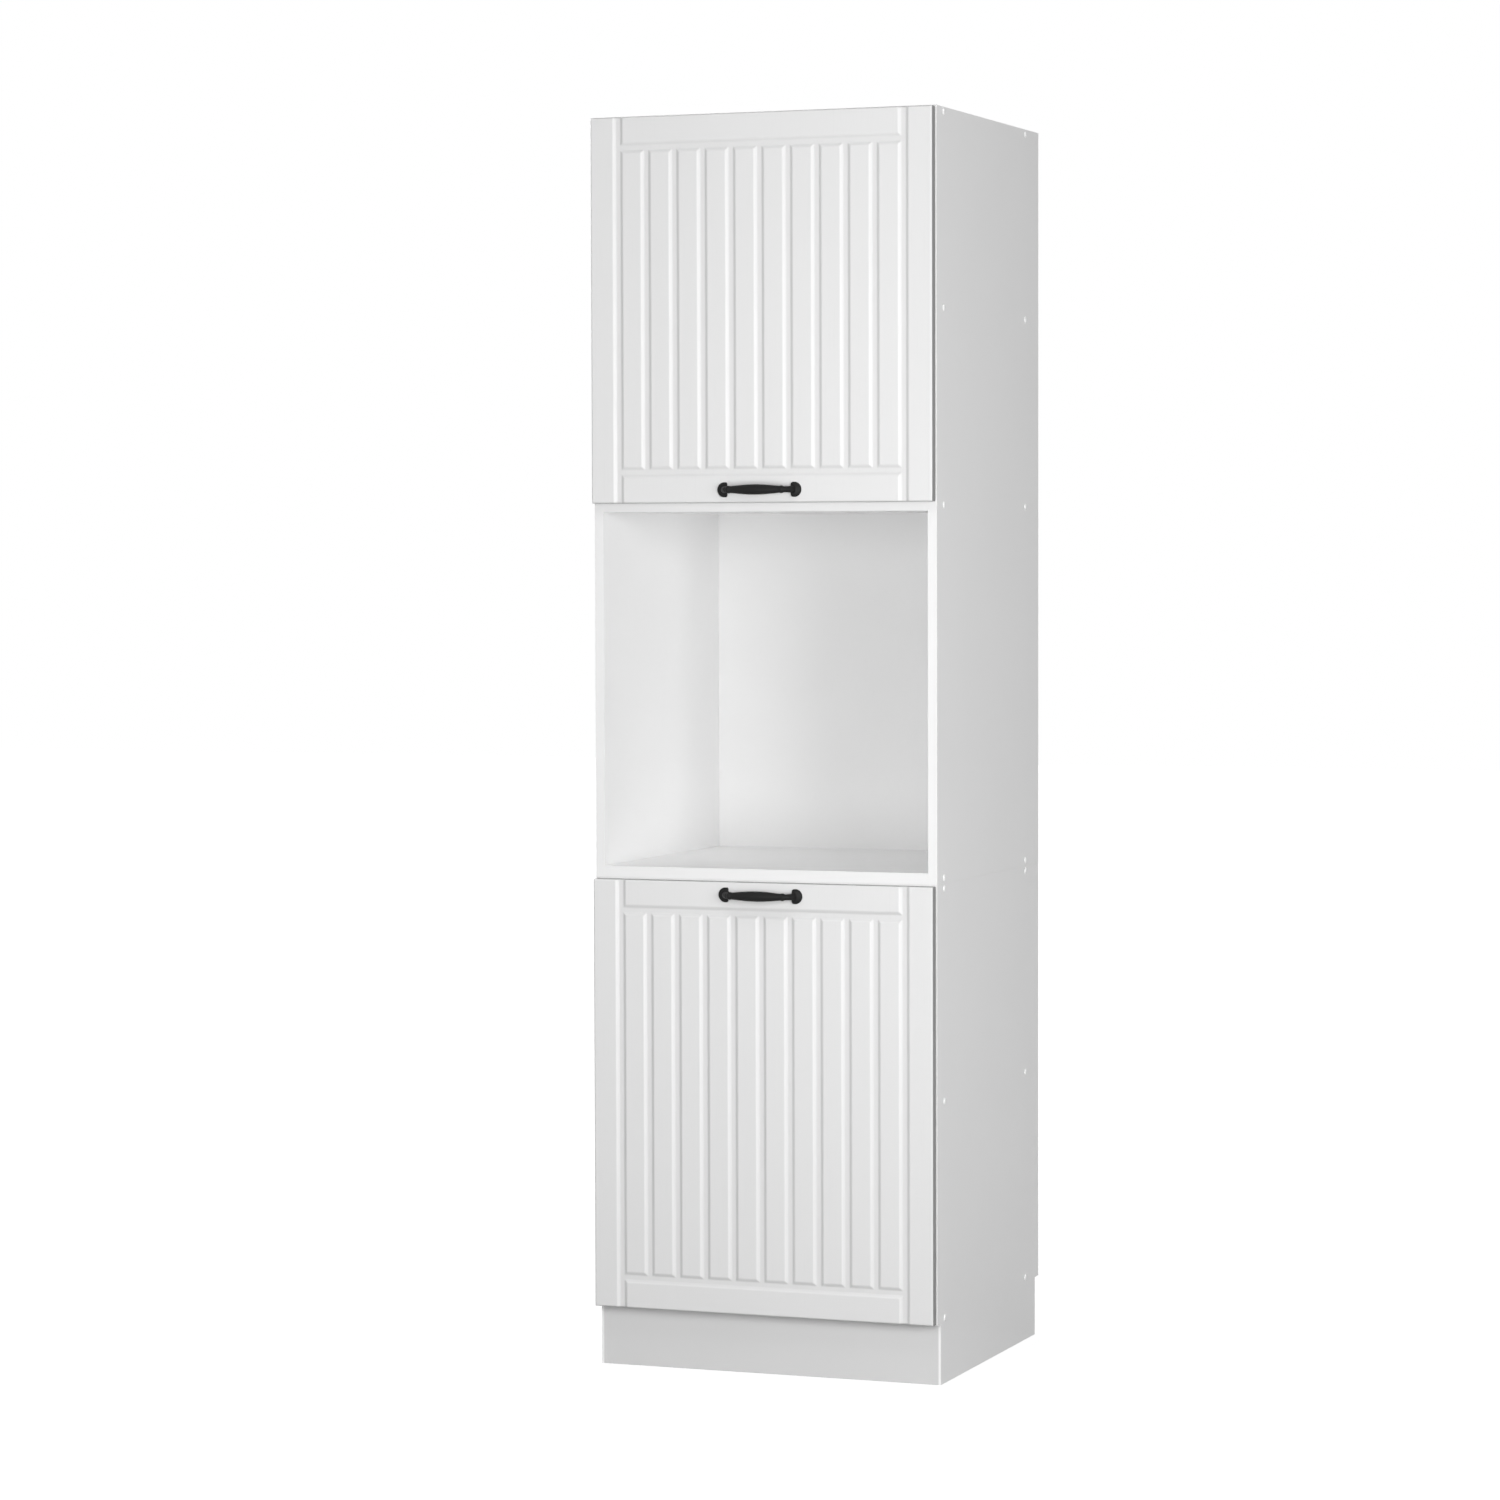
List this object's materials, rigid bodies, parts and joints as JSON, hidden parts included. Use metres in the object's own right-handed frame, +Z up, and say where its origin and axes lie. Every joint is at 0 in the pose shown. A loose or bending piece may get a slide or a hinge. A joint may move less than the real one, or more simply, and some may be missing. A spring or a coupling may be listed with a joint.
{
  "type": "oven base cabinet",
  "caption": "Tall white kitchen cabinet with an open niche for a built-in oven between two side-hinged grooved doors with dark bow handles.",
  "frame": {"origin": "on the floor, under the middle of the whole object's box, handles and screw caps included", "axes": "+Z up along the height, the doors face -Y, +X to the right-hand side seen from the front"},
  "size_m": [0.6044, 0.5976, 2.08],
  "materials": {
    "carcass_white": "white melamine-faced board with matching edge band",
    "back_board": "white lacquered thin fibreboard",
    "door_front": "matt white foil over milled fibreboard",
    "handle_black": "rough matt black cast metal",
    "cap_white": "white moulded cap",
    "block_plastic": "off-white moulded block",
    "bumper_clear": "clear soft pad",
    "zinc_steel": "zinc-plated sheet",
    "hinge_nickel": "nickel-plated pressed steel",
    "screw_steel": "zinc-plated steel"
  },
  "bodies": {
    "carcass": {"side_left_lower": "carcass_white", "side_right_lower": "carcass_white", "bottom_board": "carcass_white", "lower_shelf": "carcass_white", "lower_top_board": "carcass_white", "lower_back_panel": "back_board", "plinth_front": "carcass_white", "plinth_rear": "carcass_white", "plinth_blocks": "block_plastic", "plinth_block_screws": "screw_steel", "side_left_upper": "carcass_white", "side_right_upper": "carcass_white", "niche_floor_board": "carcass_white", "niche_ceiling_board": "carcass_white", "upper_shelf": "carcass_white", "top_board": "carcass_white", "upper_back_panel": "back_board", "carcass_screws": "screw_steel", "screw_caps": "cap_white", "joining_screws": "screw_steel", "back_panel_nails": "screw_steel", "wall_bracket_left": "zinc_steel", "wall_bracket_right": "zinc_steel", "wall_bracket_screws": "screw_steel", "hinge_plate_lower_bottom": "hinge_nickel", "hinge_plate_lower_top": "hinge_nickel", "hinge_plate_upper_bottom": "hinge_nickel", "hinge_plate_upper_top": "hinge_nickel", "hinge_plate_screws": "screw_steel", "hinge_arm_lower_bottom": "hinge_nickel", "hinge_arm_lower_top": "hinge_nickel", "hinge_arm_upper_bottom": "hinge_nickel", "hinge_arm_upper_top": "hinge_nickel", "hinge_arm_screws": "screw_steel", "hinge_arm_pins_lower": "screw_steel", "hinge_arm_pins_upper": "screw_steel"},
    "link_lower": {"hinge_link_lower_bottom": "hinge_nickel", "hinge_link_lower_top": "hinge_nickel"},
    "door_lower": {"lower_door": "door_front", "lower_handle": "handle_black", "lower_handle_screws": "screw_steel", "hinge_cup_lower_bottom": "hinge_nickel", "hinge_cup_lower_top": "hinge_nickel", "hinge_cup_pins_lower": "screw_steel", "hinge_cup_screws_lower": "screw_steel", "lower_door_bumpers": "bumper_clear"},
    "link_upper": {"hinge_link_upper_bottom": "hinge_nickel", "hinge_link_upper_top": "hinge_nickel"},
    "door_upper": {"upper_door": "door_front", "upper_handle": "handle_black", "upper_handle_screws": "screw_steel", "hinge_cup_upper_bottom": "hinge_nickel", "hinge_cup_upper_top": "hinge_nickel", "hinge_cup_pins_upper": "screw_steel", "hinge_cup_screws_upper": "screw_steel", "upper_door_bumpers": "bumper_clear"}
  },
  "joints": [
    {"name": "lower_hinge_link", "type": "hinge", "parent": "carcass", "child": "link_lower", "pos_m": [-0.253, -0.24915, 0.46], "axis": [0, 0, 1], "range_deg": [0, 47.5]},
    {"name": "lower_door_swing", "type": "hinge", "parent": "link_lower", "child": "door_lower", "pos_m": [-0.283, -0.25515, 0.46], "axis": [0, 0, -1], "range_deg": [0, 142.5]},
    {"name": "upper_hinge_link", "type": "hinge", "parent": "carcass", "child": "link_upper", "pos_m": [-0.253, -0.24915, 1.76], "axis": [0, 0, 1], "range_deg": [0, 47.5]},
    {"name": "upper_door_swing", "type": "hinge", "parent": "link_upper", "child": "door_upper", "pos_m": [-0.283, -0.25515, 1.76], "axis": [0, 0, -1], "range_deg": [0, 142.5]}
  ],
  "couplings": [
    {"joint": "lower_hinge_link", "follows": "lower_door_swing", "ratio": 0.33333},
    {"joint": "upper_hinge_link", "follows": "upper_door_swing", "ratio": 0.33333}
  ]
}
